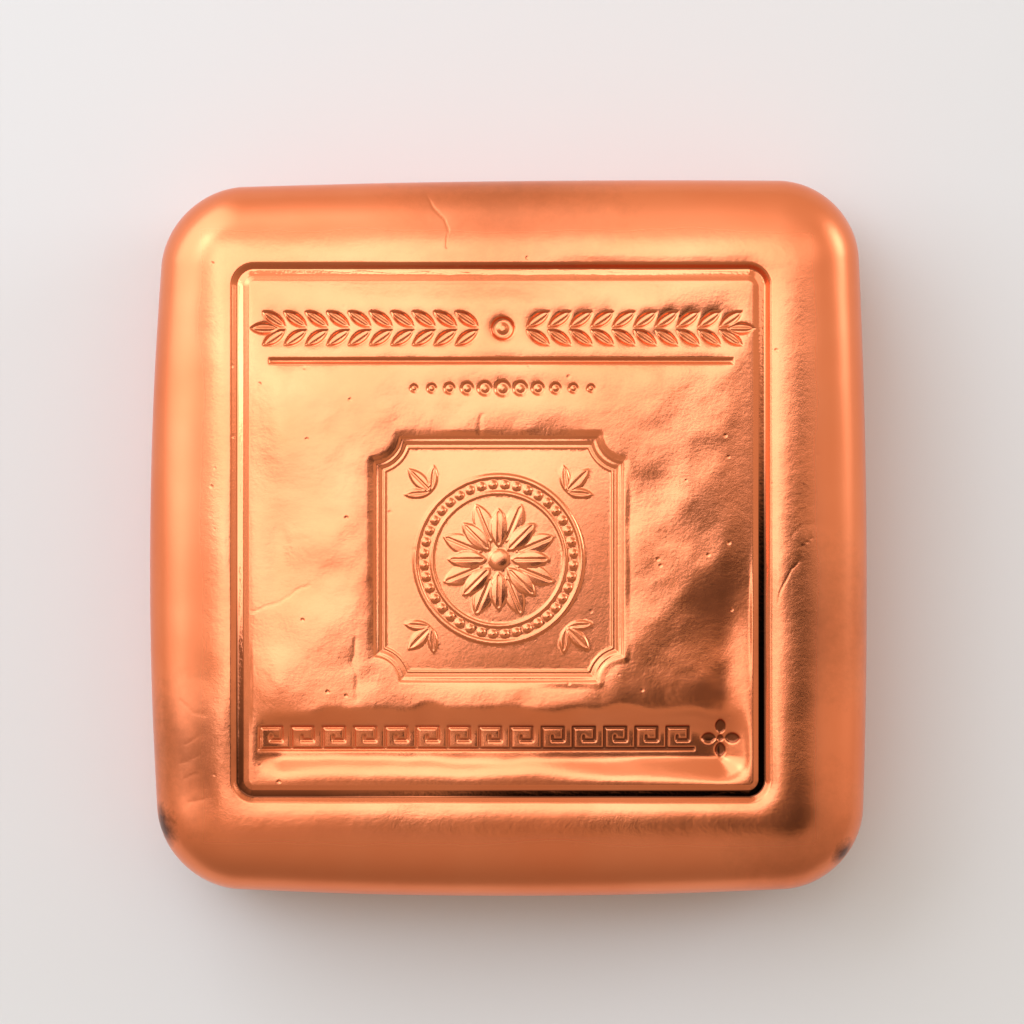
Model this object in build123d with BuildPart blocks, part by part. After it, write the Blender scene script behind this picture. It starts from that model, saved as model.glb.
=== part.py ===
from build123d import *
import os

# Poured body, in millimetres. It lies on its flat back, centred on the origin.
side = 78.0
height = 20.1
bow = 1.2
corner_radius = 8.4
widest_height = 11.5
draft = 4.0
base_radius = 3.5
shoulder_radius = 7.0

# Struck pocket, a little off the bar's centre, and the low table that stands in it
strike_x = -0.8
strike_y = 0.5
border_width = 10.5
pocket_radius = 2.0
pocket_depth = 1.25
pocket_wall_angle = 17.0
lip_radius = 1.4
groove_width = 0.12
table_drop = 0.45
bevel_angle = 46.0

# Sunk panel with notched corners, placed from the middle of the pocket
panel_x = -0.25
panel_y = -2.85
panel_width = 26.8
panel_length = 26.4
panel_notch = 2.7
panel_depth = 0.85
panel_wall_angle = 18.0

# Thin raised line that follows the panel's edge
line_inset = 0.95
line_width = 0.35
line_rise = 0.25

# Straight rule cut across the table above the panel
rule_from_edge = 10.05
rule_margin = 3.5
rule_width = 0.76
rule_depth = 0.4
rule_wall_angle = 20.0

# Levels and lengths worked out from the sizes above
pocket_side = side - 2 * border_width
table_level = height - table_drop
groove_level = height - pocket_depth
panel_level = table_level - panel_depth
rule_length = pocket_side - 2 * rule_margin
rule_y = strike_y + pocket_side / 2 - rule_from_edge

# The plan is a square whose four sides bow outwards, with rounded corners
half = side / 2
corner = half - bow
with BuildSketch(Plane.XY.offset(widest_height)) as plan:
    with BuildLine():
        ThreePointArc((-corner, corner), (0, half), (corner, corner))
        ThreePointArc((corner, corner), (half, 0), (corner, -corner))
        ThreePointArc((corner, -corner), (0, -half), (-corner, -corner))
        ThreePointArc((-corner, -corner), (-half, 0), (-corner, corner))
    make_face()
    fillet(plan.vertices(), corner_radius)

with BuildPart() as ingot:
    # Below its widest level the body narrows, so that it could leave its mould
    extrude(plan.sketch, amount=-widest_height, taper=draft)
    extrude(plan.sketch, amount=height - widest_height)
    fillet(ingot.faces().sort_by(Axis.Z)[0].edges(), base_radius)
    fillet(ingot.faces().sort_by(Axis.Z)[-1].edges(), shoulder_radius)

    # The die sinks a square pocket, and the border rolls over into it
    with BuildSketch(Plane.XY.offset(height)) as pocket:
        with Locations((strike_x, strike_y)):
            RectangleRounded(pocket_side, pocket_side, pocket_radius)
    extrude(amount=-pocket_depth, taper=pocket_wall_angle, mode=Mode.SUBTRACT)
    border = ingot.faces().filter_by(Plane.XY).sort_by(Axis.Z)[-1]
    fillet(border.inner_wires()[0].edges(), lip_radius)

    # The table fills the pocket but for a groove round it with a wide bevel
    floor = ingot.faces().filter_by(Plane.XY).sort_by(Axis.Z)[1]
    with BuildSketch(Plane.XY.offset(groove_level)) as table_foot:
        add(floor)
        offset(amount=-groove_width, mode=Mode.REPLACE)
    extrude(amount=table_level - groove_level, taper=bevel_angle)

    # The panel is sunk into the table, with a quarter circle out of each corner
    panel_centre = (strike_x + panel_x, strike_y + panel_y)
    with BuildSketch(Plane.XY.offset(table_level)) as panel:
        with Locations(panel_centre):
            Rectangle(panel_width, panel_length)
            with GridLocations(panel_width, panel_length, 2, 2):
                Circle(panel_notch, mode=Mode.SUBTRACT)
    extrude(amount=-panel_depth, taper=panel_wall_angle, mode=Mode.SUBTRACT)

    # A raised line runs round the panel's floor
    with BuildSketch(Plane.XY.offset(panel_level)) as line:
        offset(panel.sketch_local, amount=-line_inset)
        offset(amount=-line_width, mode=Mode.SUBTRACT)
    extrude(amount=line_rise)

    # The rule is a straight groove
    with BuildSketch(Plane.XY.offset(table_level)) as rule:
        with Locations((strike_x, rule_y)):
            Rectangle(rule_length, rule_width)
    extrude(amount=-rule_depth, taper=rule_wall_angle, mode=Mode.SUBTRACT)

ingot.part.label = "ingot"
os.makedirs("parts", exist_ok=True)
export_step(ingot.part, "parts/ingot.step")
print(f"volume {ingot.part.volume / 1000:.2f} cm3, faces {len(ingot.faces())}")
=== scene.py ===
# %% [markdown]
# # A struck copper bar
#
# The object is one piece of metal. Copper was poured into an open mould, and a square die
# was pressed into its top while the border was left as it had set. This lesson makes the
# whole skin of the bar as one closed surface, gives it the look of bare copper, and lights
# it as a small object is lit in a studio.

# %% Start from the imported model
import math

import bpy
import numpy as np
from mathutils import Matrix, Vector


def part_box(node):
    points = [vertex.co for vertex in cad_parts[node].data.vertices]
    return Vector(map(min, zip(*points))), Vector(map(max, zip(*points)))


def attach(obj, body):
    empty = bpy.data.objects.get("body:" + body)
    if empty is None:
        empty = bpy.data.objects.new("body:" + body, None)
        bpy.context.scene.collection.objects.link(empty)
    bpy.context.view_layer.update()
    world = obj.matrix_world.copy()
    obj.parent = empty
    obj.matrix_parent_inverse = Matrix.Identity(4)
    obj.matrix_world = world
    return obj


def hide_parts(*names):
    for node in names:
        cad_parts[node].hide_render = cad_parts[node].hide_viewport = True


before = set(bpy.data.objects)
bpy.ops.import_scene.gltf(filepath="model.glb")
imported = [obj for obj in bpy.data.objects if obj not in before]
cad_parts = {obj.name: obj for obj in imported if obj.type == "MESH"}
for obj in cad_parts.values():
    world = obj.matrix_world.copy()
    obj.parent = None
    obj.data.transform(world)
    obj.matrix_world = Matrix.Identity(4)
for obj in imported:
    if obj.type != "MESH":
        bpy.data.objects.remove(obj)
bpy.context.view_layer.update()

MM = 0.001
low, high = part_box("ingot")
HEIGHT = high[2] / MM
HALF = 39.0
print(f"packed bar: {(high[0] - low[0]) / MM:.1f} mm wide and {HEIGHT:.1f} mm high")

# %% [markdown]
# ## The camera first
#
# A maker's catalogue shows such a bar from straight above. A long lens keeps the upright
# flanks out of the picture, so the outline is the bar's widest level. The camera is framed
# for a picture 1024 pixels square, in which the bar is 716 of them wide.

# %% Look straight down
PICTURE = 1024
BAR_PIXELS = 716
BAR_CENTRE = (508.5, 537.5)
LENS = 150.0
SENSOR = 36.0
WIDEST = 13.0

view_width = 2 * HALF * PICTURE / BAR_PIXELS
camera = bpy.data.objects.new("camera", bpy.data.cameras.new("camera"))
bpy.context.scene.collection.objects.link(camera)
camera.data.lens = LENS
camera.data.sensor_width = SENSOR
camera.data.shift_x = (PICTURE / 2 - BAR_CENTRE[0]) / PICTURE
camera.data.shift_y = (BAR_CENTRE[1] - PICTURE / 2) / PICTURE
camera.location = (0, 0, (WIDEST + view_width * LENS / SENSOR) * MM)
bpy.context.scene.camera = camera
print(f"camera {camera.location.z:.3f} m above the floor")

# %% [markdown]
# ## Noise on plain arrays
#
# Poured metal is never flat: it sinks, ripples and pits as it sets. All of that comes from
# one function, smooth random values on a cube lattice. Numpy looks up all points at once.


# %% Smooth random values
def noise(points, size, seed):
    """Random values from -1 to 1 on a lattice of this size in mm, blended between the eight
    corners round each point by 6t^5 - 15t^4 + 10t^3."""
    table = np.random.default_rng(seed).uniform(-1, 1, (32, 32, 32))
    place = points / size
    cell = np.floor(place).astype(int)
    t = place - cell
    t = t * t * t * (t * (6 * t - 15) + 10)
    total = 0
    for dx in (0, 1):
        for dy in (0, 1):
            for dz in (0, 1):
                corner = table[(cell[..., 0] + dx) % 32, (cell[..., 1] + dy) % 32, (cell[..., 2] + dz) % 32]
                weight = (t[..., 0] if dx else 1 - t[..., 0]) * (t[..., 1] if dy else 1 - t[..., 1])
                total = total + corner * weight * (t[..., 2] if dz else 1 - t[..., 2])
    return total


def smooth(value, start, end):
    """0 before start, 1 after end, and 3t^2 - 2t^3 between them."""
    t = np.clip((value - start) / (end - start), 0, 1)
    return t * t * (3 - 2 * t)


two_places = np.array([[1.0, 2.0, 3.0], [9.0, 2.0, 3.0]])
print("noise at two places:", noise(two_places, 8.0, 1).round(3))

# %% [markdown]
# ## The body
#
# Seen from above the bar is a square with rounded corners, whose sides bow outwards, each by
# its own amount. Its section is a quarter of a superellipse above the widest level, and a
# squarer one below it. The skin is a square patch for the top, and rings that carry on from
# the patch's edge over the shoulder, down the flank and under the foot.

# %% Sizes of the body
CORNER = 8.4
CORNER_SOFTNESS = 7.0
SHOULDER = 11.2
SHOULDER_FULLNESS = 3.0
FOOT = 4.3
FOOT_FULLNESS = 3.4
PATCH_HALF = 31.2


def side_distance(x, y, half, radius):
    """Signed distance to a square with rounded corners, negative inside it."""
    qx = np.abs(x) - (half - radius)
    qy = np.abs(y) - (half - radius)
    outside = np.hypot(np.maximum(qx, 0), np.maximum(qy, 0))
    return outside + np.minimum(np.maximum(qx, qy), 0) - radius


def border_inset(x, y):
    """Distance inside the outline, measured to squares whose corners stay rounded all the way
    in: their radius at inset d is (a - d + sqrt((a - d)^2 + b^2)) / 2. A few steps of d less
    the distance to its own square find the square that each point lies on."""
    inset = np.maximum(-side_distance(x, y, HALF, CORNER), 0)
    soft = CORNER - CORNER_SOFTNESS ** 2 / (4 * CORNER)
    for _ in range(6):
        radius = (soft - inset + np.sqrt((soft - inset) ** 2 + CORNER_SOFTNESS ** 2)) / 2
        inset = np.maximum(inset - side_distance(x, y, HALF - inset, radius), 0)
    return inset


def shoulder_drop(inset):
    """How far the top has fallen at this distance inside the outline: a superellipse,
    b (1 - (1 - t^n)^(1/n)), where t runs from 0 at the crest to 1 at the outline."""
    t = np.clip((SHOULDER - inset) / SHOULDER, 0, 1)
    rise = HEIGHT - WIDEST
    return rise * (1 - (1 - t ** SHOULDER_FULLNESS) ** (1 / SHOULDER_FULLNESS))


inside_by = np.array([8.0, 4.0, 1.0])
print("at", inside_by, "mm inside the outline the top falls by", shoulder_drop(inside_by).round(2))


# %% Points round a rounded square
def ring(half, radius, count):
    """Points round a rounded square, count to a side, from its lower left corner. Each side
    starts and ends in the middle of a corner's arc."""
    arc = radius * math.pi / 4
    straight = half - radius
    share = arc / (arc + straight)
    f = np.arange(count) / count * 2 - 1
    run = np.clip(f / (1 - share), -1, 1)
    turn = np.clip((np.abs(f) - (1 - share)) / max(share, 1e-9), 0, 1) * math.pi / 4
    along = straight * run + np.sign(f) * radius * np.sin(turn)
    across = -half + radius * (1 - np.cos(turn))
    sides = [(along, across), (-across, along), (-along, -across), (across, -along)]
    return np.concatenate([np.stack(side, axis=1) for side in sides])


print("a ring of one point a side:", ring(HALF, CORNER, 1).round(1).tolist())

# %% Rings from the patch's edge to the middle of the back
STEPS = 680
SHOULDER_ROWS = 40
FLANK_ROWS = 34


def body_rings(count):
    """All rings of the skin as rows of (x, y, z): shoulder, then flank and foot, then back."""
    rows = []
    first = HALF - PATCH_HALF
    start = (1 - first / SHOULDER) ** (SHOULDER_FULLNESS / 2)
    for turn in np.linspace(math.asin(start), math.pi / 2, SHOULDER_ROWS):
        inset = SHOULDER * (1 - math.sin(turn) ** (2 / SHOULDER_FULLNESS))
        level = WIDEST + (HEIGHT - WIDEST) * max(math.cos(turn), 0) ** (2 / SHOULDER_FULLNESS)
        rows.append((HALF - inset, max(CORNER - inset, 0), level))
    for turn in np.linspace(0, math.pi / 2, FLANK_ROWS + 1)[1:]:
        inset = FOOT * (1 - max(math.cos(turn), 0) ** (2 / FOOT_FULLNESS))
        level = WIDEST * (1 - math.sin(turn) ** (2 / FOOT_FULLNESS))
        rows.append((HALF - inset, CORNER - 0.6 * inset, level))
    foot_half, foot_radius, _ = rows[-1]
    for share in np.linspace(1, 0, 14)[1:-1]:
        rows.append((foot_half * share, foot_radius * share, 0))
    made = []
    for half, radius, level in rows:
        flat = ring(half, radius, count)
        made.append(np.column_stack([flat, np.full(len(flat), level)]))
    return np.array(made)


print(f"{SHOULDER_ROWS} rings over the shoulder, {FLANK_ROWS} down the flank, 4 x {STEPS} points each")

# %% [markdown]
# ## Where the die struck
#
# The die is not quite in the middle of the bar. Its edge cuts a square groove, and inside the
# groove the metal swells up again into a field. Each mark of the die is found by its signed
# distance in mm, which is negative inside the mark: a distance turns into a wall of any width
# by one smooth step, and it can be joined with others by taking the smaller one.

# %% Sizes of the strike
STRIKE = (-0.8, 0.5)
POCKET_HALF = 28.5
POCKET_RADIUS = 2.0
PANEL_CENTRE = (-0.25, -2.85)
PANEL_HALF = (13.4, 13.2)
PANEL_NOTCH = 2.7
PANEL_DEPTH = 0.34
RULE_Y = 18.45
RULE_HALF = (25.0, 0.36)
FIELD_LEVEL = -0.45

# %% Section of the groove
# Each point is a distance inwards from the strike's edge, and the level there under the crest
GROOVE = [
    (-1.2, 0.0), (-0.55, -0.02), (-0.38, -0.10), (0.10, -0.67), (0.15, -0.71), (0.86, -0.635),
    (1.26, -0.50), (1.40, -0.445), (1.65, -0.45), (60.0, FIELD_LEVEL),
]


def groove_level(inward):
    """Level of the groove's section, with its corners rounded by a running mean."""
    fine = np.arange(-3, 6, 0.01)
    level = np.interp(fine, *zip(*GROOVE))
    spread = np.hanning(13)
    rounded = np.convolve(np.pad(level, 6, "edge"), spread / spread.sum(), "valid")
    return np.interp(inward, fine, rounded)


print(f"groove floor {groove_level(0.15):.2f} mm and field {FIELD_LEVEL:.2f} mm from the crest")


# %% Distances to the shapes that marks are made of
def box_distance(x, y, half_x, half_y):
    """Signed distance to a rectangle round the origin."""
    qx = np.abs(x) - half_x
    qy = np.abs(y) - half_y
    return np.hypot(np.maximum(qx, 0), np.maximum(qy, 0)) + np.minimum(np.maximum(qx, qy), 0)


def panel_distance(x, y):
    """Signed distance to the panel: a rectangle less a circle round each corner. Outside, it
    is the distance to the nearer straight edge, or in a notch to its quarter circle."""
    qx, qy = np.abs(x) - PANEL_HALF[0], np.abs(y) - PANEL_HALF[1]
    notch = PANEL_NOTCH - np.hypot(qx, qy)
    inside = np.maximum(np.maximum(qx, qy), notch)
    to_top = np.hypot(np.maximum(qx + PANEL_NOTCH, 0), qy)
    to_side = np.hypot(qx, np.maximum(qy + PANEL_NOTCH, 0))
    outside = np.minimum(to_top, to_side)
    beyond = (qx > 0) | (qy > 0)
    return np.where(beyond, outside, inside)


def leaf_distance(along, across, length, width):
    """Signed distance to a leaf with its foot at the origin: where two circles overlap."""
    half = length / 2
    radius = (half * half + width * width / 4) / width
    return np.hypot(along - half, np.abs(across) + radius - width / 2) - radius


def line_distance(x, y, points):
    """Distance to a line through the points, the least of that to each run."""
    nearest = np.full(np.shape(x), np.inf)
    for (ax, ay), (bx, by) in zip(points, points[1:]):
        run = (bx - ax, by - ay)
        t = ((x - ax) * run[0] + (y - ay) * run[1]) / (run[0] ** 2 + run[1] ** 2)
        t = np.clip(t, 0, 1)
        nearest = np.minimum(nearest, np.hypot(x - ax - t * run[0], y - ay - t * run[1]))
    return nearest


def turned(x, y, degrees):
    """x and y as read on axes turned by this angle."""
    c, s = math.cos(math.radians(degrees)), math.sin(math.radians(degrees))
    return x * c + y * s, y * c - x * s


def sunk(distance, depth, wall=0.28):
    """A flat-bottomed mark: nothing outside it, and the full depth inside its wall."""
    return depth * smooth(-distance, -0.04, wall)


leaf_middle = leaf_distance(1.5, 0.0, 3.0, 1.2)
print(f"the middle of a leaf 1.2 mm wide is at {leaf_middle:.2f} mm, which is inside it")

# %% [markdown]
# ## Ornament
#
# The die carries plain old patterns: a garland, pearls, a key pattern and a rosette. They could
# be drawn as curves and cut out of the bar, but a map of depths needs no cutting. Each pattern
# folds the plane onto one leaf, one pearl or one hook, so a row costs as much as one of them.


# %% A garland along the top
def garland(x, y):
    """Depth of a garland along x: leaves in pairs that point away from a bud in its middle,
    each with a raised vein."""
    pitch, first, pairs = 2.3, 2.55, 10
    far, up = np.abs(x), np.abs(y)
    depth = sunk(np.hypot(x, y) - 1.3, 0.28) - 0.2 * smooth(np.hypot(x, y), 0.75, 0.25)
    cell = np.clip(np.floor((far - first) / pitch), 0, pairs - 1)
    for back in (0, 1):
        along, across = turned(far - first - np.maximum(cell - back, 0) * pitch, up - 0.12, 34)
        d = leaf_distance(along, across, 3.1, 1.32)
        vein = 0.1 * smooth(np.abs(across), 0.24, 0.04) * smooth(-d, 0.12, 0.36)
        depth = np.maximum(depth, sunk(d, 0.25) - vein)
    along = far - first - pairs * pitch + 1.55
    d = leaf_distance(along, y, 3.2, 1.4)
    vein = 0.1 * smooth(np.abs(y), 0.24, 0.04) * smooth(-d, 0.12, 0.36)
    return np.maximum(depth, sunk(d, 0.25) - vein)


print(f"bud {garland(0.9, 0.0):.2f} mm deep round its pearl")


# %% Pearls, a key pattern and a small flower
def pearls(x, y):
    """Depth of a short row of pearls along x, which grow smaller towards both ends."""
    pitch, count = 1.9, 5
    cell = np.clip(np.round(x / pitch), -count, count)
    radius = 0.92 - 0.09 * np.abs(cell)
    away = np.hypot(x - cell * pitch, y)
    return sunk(away - radius, 0.19, wall=0.24) - 0.14 * smooth(away, radius * 0.62, radius * 0.2)


def key_pattern(x, y):
    """Depth of a key pattern: a square hook that repeats on a base line."""
    pitch, stroke, units = 3.36, 0.23, 14
    start = -pitch * units / 2
    cell = np.clip(np.floor((x - start) / pitch), 0, units - 1)
    across = x - start - cell * pitch
    hook = [(0.3, -1.17), (0.3, 1.17), (2.6, 1.17), (2.6, -0.22), (1.42, -0.22), (1.42, 0.2)]
    base = box_distance(x, y + 1.17, pitch * units / 2, stroke)
    return sunk(np.minimum(line_distance(across, y, hook) - stroke, base), 0.2, wall=0.24)


def small_flower(x, y):
    """Depth of a flower of four petals."""
    found = np.hypot(x, y) - 0.42
    for degrees in (0, 90, 180, 270):
        along, across = turned(x, y, degrees)
        found = np.minimum(found, leaf_distance(along - 0.4, across, 1.75, 1.3))
    return sunk(found, 0.17)


print(f"hook {key_pattern(0.3, 0.0):.2f} mm and petal {small_flower(1.2, 0.0):.2f} mm deep")


# %% The medallion on the panel's floor
def medallion(x, y):
    """Height of a rosette in a beaded ring, with a sprig of leaves in each corner."""
    radius = np.hypot(x, y)
    angle = np.arctan2(y, x)
    height = 0.20 * np.sqrt(np.clip(1 - (radius / 1.15) ** 2, 0, 1))
    for offset, foot, length, width, rise in ((0.5, 1.9, 4.6, 2.15, 0.12), (0.0, 1.25, 4.3, 2.0, 0.19)):
        sector = 2 * math.pi / 8
        local = (angle / sector - offset + 0.5) % 1 - 0.5
        along, across = radius * np.cos(local * sector), radius * np.sin(local * sector)
        d = leaf_distance(along - foot, across, length, width)
        petal = rise * smooth(-d, -0.02, 0.2) * (0.7 + 0.3 * smooth(-d, 0.1, 0.9))
        petal = petal - 0.06 * smooth(np.abs(across), 0.24, 0.05) * smooth(-d, 0.1, 0.35)
        height = np.maximum(height, petal)
    for middle, width, rise in ((7.15, 0.28, 0.12), (8.95, 0.34, 0.15)):
        height = np.maximum(height, rise * smooth(np.abs(radius - middle), width, width * 0.35))
    sector = 2 * math.pi / 40
    local = (angle / sector) % 1 - 0.5
    bead = np.hypot(radius * np.cos(local * sector) - 8.05, radius * np.sin(local * sector))
    height = np.maximum(height, 0.19 * np.sqrt(np.clip(1 - (bead / 0.46) ** 2, 0, 1)))
    far, up = (np.abs(x) + np.abs(y)) / math.sqrt(2), (np.abs(x) - np.abs(y)) / math.sqrt(2)
    for degrees, length, width in ((0, 3.6, 1.5), (50, 3.0, 1.15), (-50, 3.0, 1.15)):
        along, across = turned(far - 10.2, up, degrees)
        d = leaf_distance(along, across, length, width)
        sprig = 0.15 * smooth(-d, -0.02, 0.2)
        sprig = sprig - 0.05 * smooth(np.abs(across), 0.2, 0.05) * smooth(-d, 0.08, 0.3)
        height = np.maximum(height, sprig)
    return height


print(f"medallion {medallion(0.0, 0.0):.2f} mm high in its middle")

# %% [markdown]
# ## The metal between the marks
#
# A die drags the metal down beside every mark, so the field is not flat: it swells between
# the marks like a cushion. The drag is the depth of the marks, blurred. A blur by a bell curve
# is one product of Fourier transforms, so it costs nothing on a grid of this size.


# %% Blur on the grid
def blurred(values, step, radius):
    """Values spread by a bell curve of this radius in mm: their Fourier transform times
    e^(-2 (pi radius k)^2)."""
    rows = np.fft.fftfreq(values.shape[0], step)[:, None]
    columns = np.fft.rfftfreq(values.shape[1], step)[None, :]
    bell = np.exp(-2 * (math.pi * radius) ** 2 * (rows ** 2 + columns ** 2))
    return np.fft.irfft2(np.fft.rfft2(values) * bell, s=values.shape)


spike = np.zeros((64, 64))
spike[32, 32] = 1
print(f"a spike sums to {blurred(spike, 0.1, 0.5).sum():.3f} when it is blurred")


# %% A trough along the bottom, and a cushion
def bottom_valley(u, v):
    """Depth of the trough that the key pattern lies in: steep, then nearly level, and up
    again, blurred a little. Its upper edge wanders with the noise."""
    flat = np.stack([u, np.zeros_like(u), np.zeros_like(u)], axis=-1)
    edge = -18.9 + 0.7 * noise(flat, 6.0, 21) + 0.4 * noise(flat, 2.6, 22)
    above = np.interp(edge - v, (0, 2.4, 5.8), (0, 0.38, 0.46))
    below = 0.46 * np.clip((v + 27.2 + 0.5 * noise(flat, 4.0, 23)) / 2.6, 0, 1)
    return blurred(np.minimum(above, below), v[1, 0] - v[0, 0], 0.3)


def cushion(u, v):
    """Height of the field above its edge, 0.3 mm in the middle: on each side it follows
    1 - (1 - d / w)^2 in the distance d from the edge, up to the width w of that side."""
    height = 0.3
    for d, w in ((27.1 - u, 14), (27.1 + u, 9), (27.1 - v, 9), (27.1 + v, 14)):
        height = height * (1 - (1 - np.clip(d / w, 0, 1)) ** 2)
    return height


print(f"cushion {cushion(0.0, 0.0):.2f} mm in the middle and {cushion(24.0, 0.0):.2f} mm at x = 24")

# %% [markdown]
# ## Creases and dents
#
# The skin folded here and there as it set, and the bar has been knocked since. Displacement by
# a texture would put such marks anywhere. Here each crease is a line of points and each dent a
# place with a radius, so every one of them can be set where it belongs.

# %% Places of the knocks
# Creases and scratches, as lines of points in mm, each with its depth and half width
CREASES = [
    (0.035, 0.14, [(-8.9, 37.4), (-8.0, 35.6), (-6.9, 34.4), (-6.4, 33.0), (-6.7, 31.2)]),
    (0.014, 0.13, [(32.4, 0.0), (31.6, -1.2), (31.0, -2.6), (29.9, -4.2), (29.2, -5.6), (28.9, -7.0)]),
    (0.006, 0.22, [(29.8, -0.7), (30.8, 0.8), (32.6, 1.5), (34.4, 1.3), (35.8, 0.3)]),
    (0.016, 0.28, [(-16.4, -11.0), (-16.7, -13.4), (-16.2, -15.2), (-16.3, -17.2)]),
    (0.012, 0.18, [(-28.3, -8.3), (-24.9, -7.0), (-21.5, -5.0)]),
    (0.015, 0.25, [(-2.9, 13.2), (-3.1, 11.2)]),
    (0.015, 0.20, [(-35.4, -17.8), (-34.0, -19.0), (-32.4, -19.2)]),
    (0.012, 0.13, [(-35.0, -22.6), (-33.2, -21.4)]),
    (0.012, 0.13, [(-35.6, -25.0), (-33.2, -23.6)]),
    (0.012, 0.13, [(-35.2, -26.5), (-33.4, -25.6)]),
    (0.014, 0.16, [(-34.6, -28.8), (-31.8, -27.9)]),
]

# Soft dents and swellings, as place and radius in mm and height
DENTS = [
    (-33.2, -15.0, 2.6, -0.10), (-33.6, -28.0, 2.2, -0.11), (-34.8, -21.5, 2.4, 0.06),
    (33.6, -33.2, 2.6, -0.09), (-31.0, 34.5, 4.0, 0.05), (24.0, -9.0, 5.5, -0.14),
    (-25.5, -16.0, 3.2, 0.10), (20.5, -17.0, 3.0, 0.08), (-8.0, 35.0, 2.2, -0.05),
]
print(f"{len(CREASES)} creases and {len(DENTS)} dents")


# %% The skin as it set, and the knocks on it
def cast_skin(points):
    """Height of the skin as it set: a wave 9 mm long with ripples of 3 mm on it."""
    return 0.05 * noise(points, 9.0, 6) + 0.014 * noise(points, 3.2, 7)


def knocks(x, y):
    """Height of all creases and dents: each crease is a valley e^(-(d / w)^2) in its distance
    from a line, and each dent a bell of the same form round its place."""
    height = np.zeros_like(x)
    for depth, width, line in CREASES:
        wander = 0.12 * noise(np.stack([x, y, np.full_like(x, width)], axis=-1), 0.9, 31)
        height = height - depth * np.exp(-(line_distance(x + wander, y - wander, line) / width) ** 2)
    for place_x, place_y, radius, rise in DENTS:
        height = height + rise * np.exp(-((x - place_x) ** 2 + (y - place_y) ** 2) / radius ** 2)
    return height


print(f"largest dent {knocks(np.array([24.0]), np.array([-9.0]))[0]:.2f} mm")

# %% [markdown]
# ## The whole top
#
# The groove, the marks and the panel are cut from the border's level, and the swelling between
# them is added. One height for each point of the patch is enough, since nothing overhangs.


# %% What the die cuts
def all_marks(u, v):
    """Depth of the ornament and of the rule, the greater where two meet."""
    marks = garland(u - 0.17, v - 21.95)
    marks = np.maximum(marks, pearls(u - 0.17, v - 15.5))
    marks = np.maximum(marks, key_pattern(u + 2.63, v + 22.06))
    marks = np.maximum(marks, small_flower(u - 23.6, v + 22.06))
    return np.maximum(marks, sunk(box_distance(u, v - RULE_Y, *RULE_HALF), 0.22, wall=0.32))


def edge_section(s, u, v):
    """Level of the groove and of the border's roll into it, at s mm inside the strike's edge.
    The die went in a little askew: the groove is up to 45 % shallower on the lower left, and
    the border is rolled down up to 0.17 mm further on the lower right."""
    shallow = np.clip(0.5 - (u + v) / 80, 0, 1)
    deeper = np.clip(0.5 + (u - v) / 80, 0, 1)
    rolled = 0.17 * deeper * np.exp(-(np.minimum(s, 0) / 1.3) ** 2)
    return groove_level(s) * (1 - 0.45 * shallow) - rolled


def panel_relief(panel, x, y):
    """Height on the panel, from its middle: a floor that arches by 0.2 mm, a thin raised line
    1.15 mm inside its edge, and the medallion."""
    line = 0.06 * smooth(np.abs(-panel - 1.15), 0.24, 0.06)
    arch_x = np.clip(1 - (x / 12.2) ** 2, 0, 1)
    arch_y = np.clip(1 - (y / 12.0) ** 2, 0, 1)
    return line + 0.20 * arch_x * arch_y + medallion(x, y) * smooth(-panel, 1.4, 1.6)


print(f"rule {all_marks(0.0, RULE_Y):.2f} mm deep, and the groove {-edge_section(0.15, 20, 0):.2f} mm")


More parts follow.
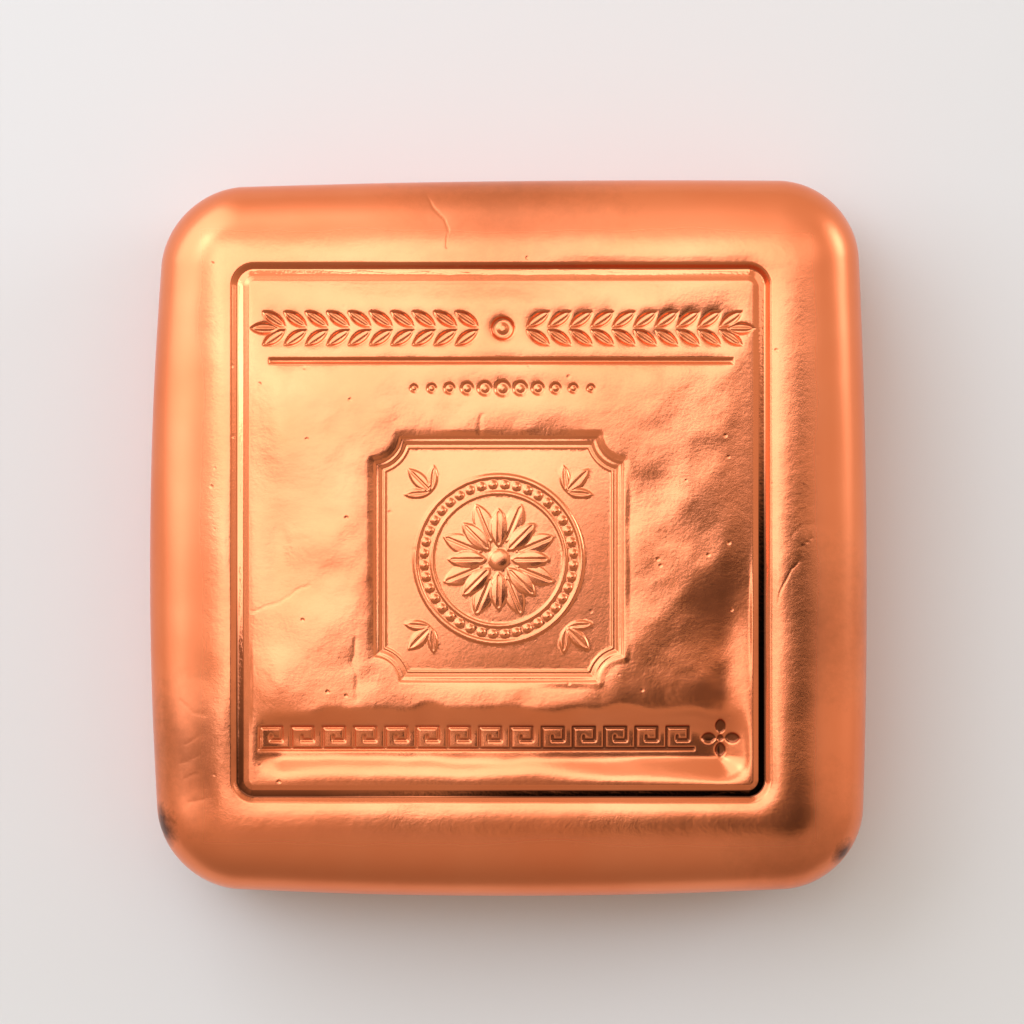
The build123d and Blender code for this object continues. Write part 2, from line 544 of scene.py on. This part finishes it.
# %% The height of the top
def struck_top(x, y):
    """Height in mm over the whole patch, from the border's crest down to the panel's floor.
    Then how much of the cast skin the die has smoothed there: 0 for none of it, 1 for all,
    and 2 for the groove's floor, which it has polished. Then the painted shade, from 0 to 1:
    black painted into the groove and the marks on the lower right, and into the groove's lower left."""
    points = np.stack([x, y, np.zeros_like(x)], axis=-1)
    step = x[0, 1] - x[0, 0]
    u, v = x - STRIKE[0], y - STRIKE[1]
    s = -side_distance(u, v, POCKET_HALF, POCKET_RADIUS)
    panel_x, panel_y = u - PANEL_CENTRE[0], v - PANEL_CENTRE[1]
    panel = panel_distance(panel_x, panel_y)
    border = -shoulder_drop(border_inset(x, y))

    # What the die cut, and the metal that it dragged down beside it
    marks = all_marks(u, v)
    plate = PANEL_DEPTH * (0.15 * smooth(-panel, -0.05, 0.3) + 0.85 * np.clip(-panel / 1.0, 0, 1))
    drag = 0.5 * blurred(marks, step, 0.45) + 1.05 * blurred(marks, step, 1.2)
    drag = drag + 0.33 * blurred(plate, step, 0.6) + 0.64 * blurred(plate, step, 1.7)

    # The field between them: it swells, and it rolls down towards the lower right
    field = smooth(POCKET_HALF - np.abs(u), 1.4, 5.2) * smooth(POCKET_HALF - np.abs(v), 1.4, 4.6)
    open_skin = field * smooth(panel, -0.05, 0.8)
    swell = 0.11 * noise(points, 12.0, 3) + 0.06 * noise(points, 5.0, 4) + 0.014 * noise(points, 1.9, 5)
    beyond = (u - v) / math.sqrt(2) - 17 + 2.5 * noise(points, 8.0, 8)
    roll = 0.0022 * np.maximum(beyond, 0) ** 2
    trough = bottom_valley(u, v)
    off_panel = np.where(panel < 0, smooth(panel, -0.6, 0), 1)

    z = edge_section(s, u, v) + border - marks - plate - (drag + trough) * off_panel * field
    z = z + (swell - roll) * open_skin + cushion(u, v) + panel_relief(panel, panel_x, panel_y)

    # How the skin was left
    polished = smooth(s, 0.0, 0.12) * smooth(s, 0.92, 0.8)
    smoothed = np.clip(4.5 * blurred(marks, step, 0.7) + 1.6 * blurred(plate, step, 0.9), 0, 1)
    smoothed = np.maximum(smoothed, smooth(trough * field, 0.02, 0.16))
    smoothed = np.maximum(smoothed, smooth(s, -0.6, 0.1) * smooth(s, 1.9, 1.4)) + polished
    # Painted shade: black in the groove's floor and the marks towards the lower right, and in the groove's
    # lower left
    hollows = np.maximum(polished, 0.8 * smooth(marks, 0.01, 0.08))
    painted_shade = np.maximum(hollows * smooth(x - y, 10, 30), 0.9 * polished * smooth(-x - y, 33, 45))

    untouched = np.clip(1 - smoothed, 0, 1)
    z = z + cast_skin(points) * smooth(s, 0.2, -1.5) + knocks(x, y) * untouched
    return HEIGHT + z, smoothed, painted_shade


# %% [markdown]
# ## One closed skin
#
# The patch and the rings are joined in one mesh. The pour gives each side its own bow and
# lean, so the outer part of the plan is shifted a little at the end.


# %% Shift the outline as the pour left it
def poured_outline(x, y):
    """Moves the outer 8 mm so that each side follows bow * t^2 + lean * t. Each corner's arc is
    moved whole and stays round, and the straight sides take up the difference."""
    t_x, t_y = np.clip(x / HALF, -1, 1), np.clip(y / HALF, -1, 1)
    left = 1.62 * t_y ** 2 + 0.29 * t_y + 0.05
    right = -(0.98 * t_y ** 2 + 0.30 * t_y + 0.08)
    upper = -(0.46 * t_x ** 2 - 0.43 * t_x + 0.27)
    lower = 1.20 * t_x ** 2 + 0.05
    rim = smooth(side_distance(x, y, HALF, CORNER), -8.4, 0)
    moved_x = x + rim * smooth(np.abs(x), 8, 29) * np.where(x < 0, left, right)
    moved_y = y + rim * smooth(np.abs(y), 8, 29) * np.where(y < 0, lower, upper)
    return moved_x, moved_y


print(f"the middle of the right side moves by {poured_outline(HALF, 0.0)[0] - HALF:.2f} mm")


# %% Make the skin
def bar_skin():
    """Vertices in mm and faces of the whole bar: patch, rings and the pole of the back."""
    side = np.linspace(-PATCH_HALF, PATCH_HALF, STEPS + 1)
    y, x = np.meshgrid(side, side, indexing="ij")
    height, smoothed, painted_shade = struck_top(x, y)
    patch = np.stack([x, y, height], axis=-1).reshape(-1, 3)
    number = np.arange((STEPS + 1) ** 2).reshape(STEPS + 1, STEPS + 1)
    edge = np.concatenate([number[0, :-1], number[:-1, -1], number[-1, :0:-1], number[:0:-1, 0]])

    rings = body_rings(STEPS)
    upper = rings[:SHOULDER_ROWS]
    inset = border_inset(upper[..., 0], upper[..., 1])
    uneven = cast_skin(upper * (1, 1, 0)) + knocks(upper[..., 0], upper[..., 1])
    upper[..., 2] = HEIGHT - shoulder_drop(inset) + uneven * smooth(inset, 0.5, 3.0)
    points = np.concatenate([patch, rings[1:].reshape(-1, 3), [[0, 0, 0]]])
    points[:, 0], points[:, 1] = poured_outline(points[:, 0], points[:, 1])

    corner = number[:-1, :-1].ravel()
    faces = [np.stack([corner, corner + 1, corner + STEPS + 2, corner + STEPS + 1], axis=1)]
    rows = [edge] + [len(patch) + k * len(edge) + np.arange(len(edge)) for k in range(len(rings) - 1)]
    for inner, outer in zip(rows, rows[1:]):
        faces.append(np.stack([inner, outer, np.roll(outer, -1), np.roll(inner, -1)], axis=1))
    pole = np.stack([rows[-1], np.full(len(edge), len(points) - 1), np.roll(rows[-1], -1)], axis=1)
    return points, np.concatenate(faces), pole, height, smoothed, painted_shade


points, quads, pole, height_grid, smoothed_grid, painted_shade_grid = bar_skin()
GRID_STEP = 2 * PATCH_HALF / STEPS
print(f"skin: {len(points)} points, {len(quads)} quads")
mesh = bpy.data.meshes.new("struck_bar")
mesh.from_pydata((points * MM).tolist(), [], quads.tolist() + pole.tolist())
mesh.update()
bar = bpy.data.objects.new("struck_bar", mesh)
bpy.context.scene.collection.objects.link(bar)

# %% [markdown]
# ## Keep triangles only where the surface turns
#
# A plain flat stretch needs few triangles, and a leaf's edge needs many. Decimate gives each
# its share, and keeps the whole piece under 200,000.

# %% Thin the mesh
TRIANGLES = 190000
count = 2 * len(quads) + len(pole)
thin = bar.modifiers.new("thin", "DECIMATE")
thin.ratio = TRIANGLES / count
thin.use_collapse_triangulate = True
bpy.context.view_layer.update()
thinned = bpy.data.meshes.new_from_object(bar.evaluated_get(bpy.context.evaluated_depsgraph_get()))
bar.modifiers.clear()
bar.data = thinned
bpy.data.meshes.remove(mesh)
bar.data.name = "struck_bar"
bar.data.shade_smooth()
print(f"bar: {len(bar.data.polygons)} triangles")

# %% [markdown]
# ## True normals
#
# Long thin triangles are cheap, but smooth shading guesses badly across them. The heights are
# known at every point of the grid, so its slopes give the true normals. Ten points inside each
# triangle read the slope, and the three corners take the values that fit those ten best.


# %% Read grids of the top at any place
def read_grid(grid, vertices):
    """Values of a grid at the places of vertices, blended between the four points round each."""
    column = np.clip((vertices[:, 0] + PATCH_HALF) / GRID_STEP, 0, STEPS - 1e-6)
    row = np.clip((vertices[:, 1] + PATCH_HALF) / GRID_STEP, 0, STEPS - 1e-6)
    c, r = column.astype(int), row.astype(int)
    fc, fr = column - c, row - r
    lower = grid[r, c] * (1 - fc) + grid[r, c + 1] * fc
    upper = grid[r + 1, c] * (1 - fc) + grid[r + 1, c + 1] * fc
    return lower * (1 - fr) + upper * fr


# %% Give the top its true normals
thirds = np.array([(i, j, 3 - i - j) for i in range(4) for j in range(4 - i)])
weights = (thirds + 1 / 3) / 4
fit = np.linalg.pinv(weights)

faces, total = len(bar.data.polygons), len(bar.data.vertices)
places, guessed = np.empty(total * 3), np.empty(total * 3)
corners, face_normals = np.empty(faces * 3, dtype=int), np.empty(faces * 3)
bar.data.vertices.foreach_get("co", places)
bar.data.vertices.foreach_get("normal", guessed)
bar.data.loops.foreach_get("vertex_index", corners)
bar.data.polygons.foreach_get("normal", face_normals)
places, guessed = places.reshape(-1, 3) / MM, guessed.reshape(-1, 3)
inside = (weights @ places[corners].reshape(faces, 3, 3)).reshape(-1, 3)
true = np.ones((faces, 3, 3))
for axis, rise in enumerate(np.gradient(height_grid, GRID_STEP)[::-1]):
    true[..., axis] = -read_grid(rise, inside).reshape(faces, -1) @ fit.T
true = (true / np.linalg.norm(true, axis=2, keepdims=True)).reshape(-1, 3)


def on_patch(points):
    """1 where points lie on the patch, and 0 on the rings, blended over one mm."""
    far = np.maximum(np.abs(points[:, 0]), np.abs(points[:, 1]))
    return smooth(far, PATCH_HALF - 0.6, PATCH_HALF - 1.6) * (points[:, 2] > WIDEST)


share = on_patch(places)[corners][:, None]
bar.data.normals_split_custom_set((true * share + guessed[corners] * (1 - share)).tolist())
print(f"true normals for {faces * 3} corners")

# %% Notes on each vertex
# How smooth the die left it, the border's satin skin, and the painted shade in the groove and the marks
far = np.maximum(np.abs(places[:, 0]), np.abs(places[:, 1]))
notes = {
    "smoothed": read_grid(smoothed_grid, places) * on_patch(places),
    "satin": smooth(far, 31.0, 34.5),
    "painted_shade": read_grid(painted_shade_grid, places) * on_patch(places),
}
for name, values in notes.items():
    bar.data.attributes.new(name, "FLOAT", "POINT").data.foreach_set("value", values)
    print(f"{name}: {values.mean():.3f} on average, {values.max():.2f} at most")

# %% [markdown]
# ## Layout for baked pictures
#
# Whoever bakes the copper into a picture needs each face to have its own place there. The top
# is laid flat as seen from above, and the flank is folded outwards round it. The back lies
# beside them at a smaller scale, since it is plain.

# %% Lay the skin flat
flank = np.maximum(WIDEST - places[:, 2], 0)
straight = HALF - CORNER
outwards = places[:, :2] - np.clip(places[:, :2], -straight, straight)
outwards = outwards / np.maximum(np.linalg.norm(outwards, axis=1, keepdims=True), 1e-9)
top_layout = 0.005 + 0.79 * ((places[:, :2] + 0.5 * outwards * flank[:, None]) / 92 + 0.5)
back_layout = (0.9, 0.1) + places[:, :2] * (-1, 1) * 0.18 / (2 * HALF)
is_back = np.repeat(face_normals.reshape(-1, 3)[:, 2] < -0.8, 3)[:, None]
layout = np.where(is_back, back_layout[corners], top_layout[corners])
bar.data.uv_layers.new(name="OFBake").data.foreach_set("uv", layout.ravel())
print("layout from", np.round(layout.min(axis=0), 3), "to", np.round(layout.max(axis=0), 3))

# %% [markdown]
# ## Bare copper
#
# Fine copper with no lacquer, as it leaves the press: an orange metal, satin where it set in
# the open and smooth where the die pushed it. Metal has no colour of its own but what it
# reflects, so the base colour tints the lamps, and the roughness spreads them. A fine grain
# and scattered pits come from bump, because they are smaller than the mesh can hold.


# %% Colours and nodes
def linear(hex_colour):
    """A colour written as sRGB hex, as the linear values that a node takes."""
    s = np.array([int(hex_colour[k:k + 2], 16) for k in (1, 3, 5)]) / 255
    values = np.where(s <= 0.04045, s / 12.92, ((s + 0.055) / 1.055) ** 2.4)
    return (*values, 1.0)


def add(tree, kind, inputs, out=0, **settings):
    """Adds a node of this kind to the tree, sets its properties, sets or links its inputs by
    name or number, and gives back one of its outputs."""
    made = tree.nodes.new("ShaderNode" + kind)
    for name, value in settings.items():
        setattr(made, name, value)
    for key, value in inputs.items():
        if isinstance(value, bpy.types.NodeSocket):
            tree.links.new(value, made.inputs[key])
        else:
            made.inputs[key].default_value = value
    return made.outputs[out]


print("a mid grey of #808080 is", round(linear("#808080")[0], 3), "as a linear value")

# %% Patterns of the copper, each at its size in mm
copper = bpy.data.materials.new("poured_copper")
copper.use_nodes = True
tree = copper.node_tree
shader = tree.nodes["Principled BSDF"]
place = add(tree, "TexCoord", {}, out="Object")
by_die = add(tree, "Attribute", {}, out="Fac", attribute_name="smoothed")
satin = add(tree, "Attribute", {}, out="Fac", attribute_name="satin")
either = add(tree, "Math", {0: by_die, 1: satin}, operation="MAXIMUM")
cast = add(tree, "Math", {0: 1.0, 1: either}, operation="SUBTRACT", use_clamp=True)

# Cast skin ripples at 1.5 mm, with finer ripples on those
waves = {"Vector": place, "Scale": 1 / (1.5 * MM), "Detail": 5.0, "Roughness": 0.68}
ripple = add(tree, "TexNoise", waves)
# The press leaves a grain of about 0.05 mm, which is drawn at 0.3 mm so that it shows
grain = add(tree, "TexNoise", {"Vector": place, "Scale": 1 / (0.3 * MM), "Detail": 2.0})
# Gas leaves pits 0.2 to 0.5 mm wide, a few to each square centimetre
cells = {"Vector": place, "Scale": 1 / (2.4 * MM)}
to_middle = add(tree, "TexVoronoi", cells, out="Distance")
chance = add(tree, "SeparateColor", {0: add(tree, "TexVoronoi", cells, out="Color")})
bowl = add(tree, "MapRange", {0: to_middle, 1: 0.03, 2: 0.12, 3: 1.0, 4: 0.0})
few = add(tree, "MapRange", {0: chance, 1: 0.62, 2: 0.72, 3: 0.0, 4: 1.0})
pits = add(tree, "Math", {0: bowl, 1: few}, operation="MULTIPLY")
print(f"patterns: {len(tree.nodes)} nodes")

# %% Colour
# Fresh copper, a little redder in blotches, with two small dark spots at the outer edge and patches of
# painted shade on the border
blotch = add(tree, "TexNoise", {"Vector": place, "Scale": 1 / (14.0 * MM), "Detail": 3.0})
redder = add(tree, "MapRange", {0: blotch, 1: 0.35, 2: 0.65})
PALE_COPPER, RED_COPPER = linear("#F68F60"), linear("#F08657")
fresh = add(tree, "Mix", {0: redder, 6: PALE_COPPER, 7: RED_COPPER}, out=2, data_type="RGBA")

# Each dark patch has its place in mm, its inner and outer radius there and how dark it is. The
# first two are small dark spots at the outer edge. The last four are large and faint: painted shade on the
# border.
SPOTS_AND_SHADE = [
    ((-37.6, -31.2, 16.8), 0.8, 2.9, 0.88),
    ((36.4, -34.2, 17.2), 0.6, 2.0, 0.88),
    # Painted shade on the border from here on
    ((-33.6, -23.0, 19.5), 1.0, 9.0, 0.42),
    ((32.4, -9.0, 19.6), 0.0, 10.0, 0.3),
    ((0.0, 35.6, 18.5), 1.0, 14.0, 0.25),
    ((31.0, -31.5, 19.5), 0.0, 9.0, 0.25),
]
# Dark brown of the spots and of the painted shade
SPOT_AND_SHADE_BROWN = linear("#3A1D10")
with_painted_shade = fresh
for at, core, edge, dark in SPOTS_AND_SHADE:
    centre = tuple(MM * value for value in at)
    away = add(tree, "VectorMath", {0: place, 1: centre}, out="Value", operation="DISTANCE")
    ragged = add(tree, "Math", {0: ripple, 1: edge * MM, 2: away}, operation="MULTIPLY_ADD")
    near, far = (core + 0.5 * edge) * MM, 1.5 * edge * MM
    darkness = add(tree, "MapRange", {0: ragged, 1: near, 2: far, 3: dark, 4: 0.0})
    with_painted_shade = add(tree, "Mix", {0: darkness, 6: with_painted_shade, 7: SPOT_AND_SHADE_BROWN}, out=2, data_type="RGBA")

# Painted shade: black in the groove and the marks on the lower right, and in the groove's lower left, where
# these narrow hollows look dark
painted_shade = add(tree, "Attribute", {}, out="Fac", attribute_name="painted_shade")
blackened = add(tree, "Math", {0: painted_shade, 1: 0.93}, operation="MULTIPLY")
BLACK = linear("#1E0E08")
with_painted_shade = add(tree, "Mix", {0: blackened, 6: with_painted_shade, 7: BLACK}, out=2, data_type="RGBA")
print(f"colour: {len(SPOTS_AND_SHADE)} dark_patches, {len(tree.nodes)} nodes so far")

# %% Roughness
# Satin on the outer border, and polished on the groove's floor
patchy = add(tree, "MapRange", {0: blotch, 1: 0.3, 2: 0.7, 3: 0.18, 4: 0.23})
softer = add(tree, "Math", {0: satin, 1: 0.12, 2: patchy}, operation="MULTIPLY_ADD")
polished = add(tree, "MapRange", {0: by_die, 1: 1.1, 2: 1.8})
rough = add(tree, "Mix", {0: polished, 2: softer, 3: 0.05})
print(f"roughness: {len(tree.nodes)} nodes so far")

# %% Bump
# Heights in metres: ripples and pits on the cast skin, and the grain everywhere
rippled = add(tree, "Math", {0: ripple, 1: 0.021 * MM}, operation="MULTIPLY")
holes = add(tree, "Math", {0: pits, 1: -0.028 * MM, 2: rippled}, operation="MULTIPLY_ADD")
on_cast = add(tree, "Math", {0: holes, 1: cast}, operation="MULTIPLY")
relief = add(tree, "Math", {0: grain, 1: 0.004 * MM, 2: on_cast}, operation="MULTIPLY_ADD")
bumped = add(tree, "Bump", {"Height": relief, "Distance": 1.0, "Strength": 1.0})

shader.inputs["Metallic"].default_value = 1.0
for name, value in (("Base Color", with_painted_shade), ("Roughness", rough), ("Normal", bumped)):
    tree.links.new(value, shader.inputs[name])
bar.data.materials.append(copper)
print(f"copper: {len(tree.nodes)} nodes")

# %% [markdown]
# ## Floor and light
#
# A plain pale floor, and soft light from above and from the left. Bare metal shows what stands
# round it, so each part of the bar is lit by the lamp that it mirrors: the flat field and the
# crest of the border mirror what is overhead, and the shoulders mirror the sides. A photograph
# of the metal tells where the lamps stood, so a lamp is placed for each bright part.

# %% The floor
floor_mesh = bpy.data.meshes.new("floor")
REACH = 6.0
# The bar's back is at 0, so the floor lies a little lower and the two don't share a plane
BELOW = -0.1 * MM
square = [(-REACH, -REACH, BELOW), (REACH, -REACH, BELOW), (REACH, REACH, BELOW), (-REACH, REACH, BELOW)]
floor_mesh.from_pydata(square, [], [(0, 1, 2, 3)])
floor = bpy.data.objects.new("floor", floor_mesh)
bpy.context.scene.collection.objects.link(floor)
pale = bpy.data.materials.new("pale_floor")
pale.use_nodes = True
pale.node_tree.nodes["Principled BSDF"].inputs["Base Color"].default_value = linear("#D9D9D6")
pale.node_tree.nodes["Principled BSDF"].inputs["Roughness"].default_value = 0.9
floor_mesh.materials.append(pale)
print(f"floor {2 * REACH:.0f} m wide")


# %% The lamps
# The lamps are daylight, which keeps the highlights pale. What the tent throws back is warm,
# and that gives the dark parts their deep red.
DAYLIGHT = (1.0, 1.1, 1.32)
WARM = (1.0, 0.87, 0.72)


def softbox(name, place, size, radiance, turn=0.0):
    """A rectangle of light at a place in metres, facing the bar. Its power in watts is
    pi * area * radiance, where a radiance of 1 shows as white."""
    lamp = bpy.data.lights.new(name, "AREA")
    lamp.shape = "RECTANGLE"
    lamp.size, lamp.size_y = size
    lamp.energy = math.pi * size[0] * size[1] * radiance
    lamp.color = DAYLIGHT
    made = bpy.data.objects.new(name, lamp)
    bpy.context.scene.collection.objects.link(made)
    made.location = place
    facing = made.location.to_track_quat("Z", "Y").to_euler()
    made.rotation_euler = (facing.x, facing.y, facing.z + math.radians(turn))
    return made


# The field and the crest mirror the first one, and the upper and left border the next two
softbox("softbox_over", (-0.026, 0.066, 0.55), (0.269, 0.165), 2.0, turn=15)
softbox("softbox_edge", (-0.06, 0.25, 0.52), (0.36, 0.22), 0.35, turn=19)
softbox("softbox_left", (-0.235, 0.15, 0.5), (0.16, 0.32), 1.6)
# The left flank's shoulder mirrors a wall, and the right one a narrow strip
softbox("wall_left", (-0.38, 0.3, 0.31), (0.72, 0.6), 1.7)
softbox("strip_right", (0.49, 0.19, 0.18), (0.24, 0.17), 4.0)
softbox("fill_right", (0.22, 0.14, 0.55), (0.14, 0.18), 0.8)
print(f"{len(bpy.data.lights)} lamps")

# %% The tent
# A pale tent closes the space between the lamps. It is darker towards the picture's lower side,
# and its hole, where the camera stood, gives the dark patch on the lower right. The angles are
# degrees from straight up, towards +x and towards +y.
HOLE_CENTRE = (11.5, -7.5)
HOLE_HALF = (12.0, 9.0)
TENT = (0.36, 0.8)


def sines(degrees):
    """x and y of a direction that leans this many degrees from straight up to +x and to +y."""
    return tuple(math.sin(math.radians(angle)) for angle in degrees)


world = bpy.data.worlds.new("light_tent")
bpy.context.scene.world = world
world.use_nodes = True
air = world.node_tree
way = add(air, "TexCoord", {}, out="Generated")
from_hole = add(air, "VectorMath", {0: way, 1: (*sines(HOLE_CENTRE), 0)}, operation="SUBTRACT")
shares = tuple(1 / sine for sine in sines(HOLE_HALF))
from_hole = add(air, "VectorMath", {0: from_hole, 1: (*shares, 0)}, operation="MULTIPLY")
outside = add(air, "VectorMath", {0: from_hole}, out="Value", operation="LENGTH")
aside = add(air, "SeparateXYZ", {0: way}, out="Y")
wall = add(air, "MapRange", {0: aside, 1: -0.9, 2: 0.25, 3: TENT[0], 4: TENT[1]})
rim = {0: outside, 1: 0.8, 2: 1.2, 3: 0.02, 4: wall}
strength = add(air, "MapRange", rim, interpolation_type="SMOOTHSTEP")
air.links.new(strength, air.nodes["Background"].inputs["Strength"])
air.nodes["Background"].inputs["Color"].default_value = (*WARM, 1)
print(f"tent from {TENT[0]} to {TENT[1]}, with a hole {2 * HOLE_HALF[0]:.0f} degrees wide")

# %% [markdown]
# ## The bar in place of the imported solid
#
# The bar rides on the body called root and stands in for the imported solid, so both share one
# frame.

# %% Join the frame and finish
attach(bar, "root")
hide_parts("ingot")
bpy.context.scene.view_settings.view_transform = "Standard"
